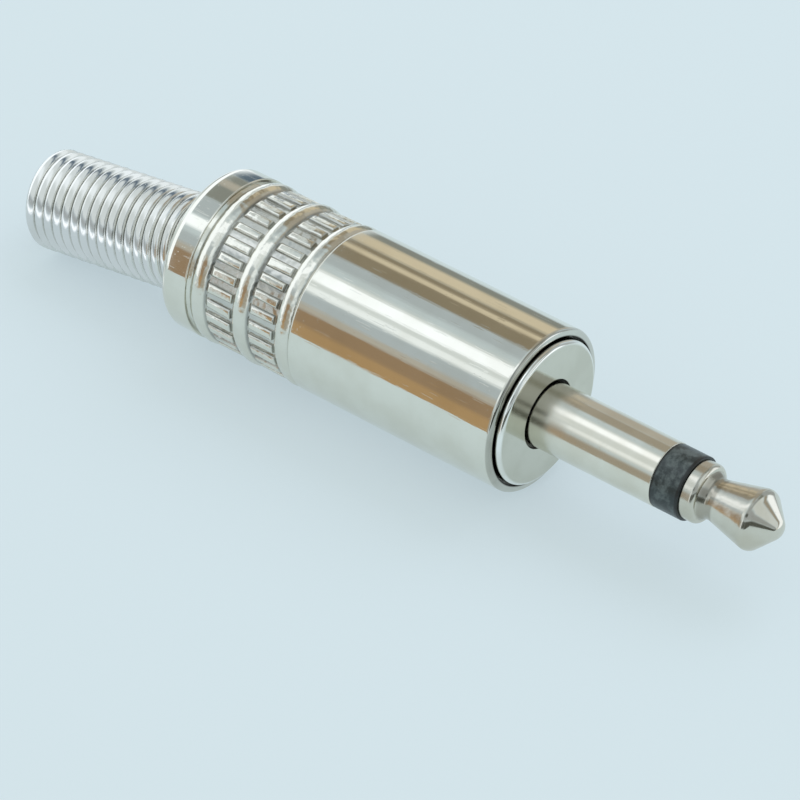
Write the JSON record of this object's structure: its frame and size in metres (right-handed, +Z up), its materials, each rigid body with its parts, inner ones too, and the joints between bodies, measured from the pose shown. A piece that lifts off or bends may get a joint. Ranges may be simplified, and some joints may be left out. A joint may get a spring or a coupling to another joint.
{
  "type": "mono jack plug",
  "caption": "Two-pole jack plug with a nickel-plated screw-on shell, knurled grip bands and a close-wound spring strain relief, for ending an audio cable.",
  "frame": {"origin": "on the plug's axis, in the front face of the collar, where the plug pin begins", "axes": "+X along the plug's axis towards the tip, +Z up with the plug lying on its shell, +Y to the left seen from behind"},
  "size_m": [0.0474, 0.009, 0.009],
  "materials": {
    "shell_nickel": "polished nickel plating on brass",
    "spring_wire": "bright plated spring wire",
    "liner_plastic": "translucent white plastic tube",
    "collar_nickel": "turned nickel plating, satin face",
    "contact_nickel": "polished nickel plating, slightly warm",
    "black_insulator": "moulded black plastic",
    "fibre_washer": "pressed insulating fibre",
    "tag_metal": "tinned sheet brass"
  },
  "bodies": {
    "plug": {"front_collar": "collar_nickel", "sleeve_contact": "contact_nickel", "front_insulator": "black_insulator", "tip_contact": "contact_nickel", "rear_insulator": "fibre_washer", "sleeve_tag": "tag_metal", "tip_tag": "tag_metal"},
    "spring": {"strain_relief_spring": "spring_wire"},
    "shell": {"shell": "shell_nickel", "insulating_liner": "liner_plastic"}
  },
  "joints": [
    {"name": "shell_slide", "type": "slide", "parent": "plug", "child": "spring", "axis": [-1, 0, 0], "range_m": [0, 0.004]},
    {"name": "shell_turn", "type": "hinge", "parent": "spring", "child": "shell", "pos_m": [0, 0, 0], "axis": [-1, 0, 0], "range_deg": [0, 2880]}
  ],
  "couplings": [
    {"joint": "shell_turn", "follows": "shell_slide", "rad_per_m": 12566}
  ]
}
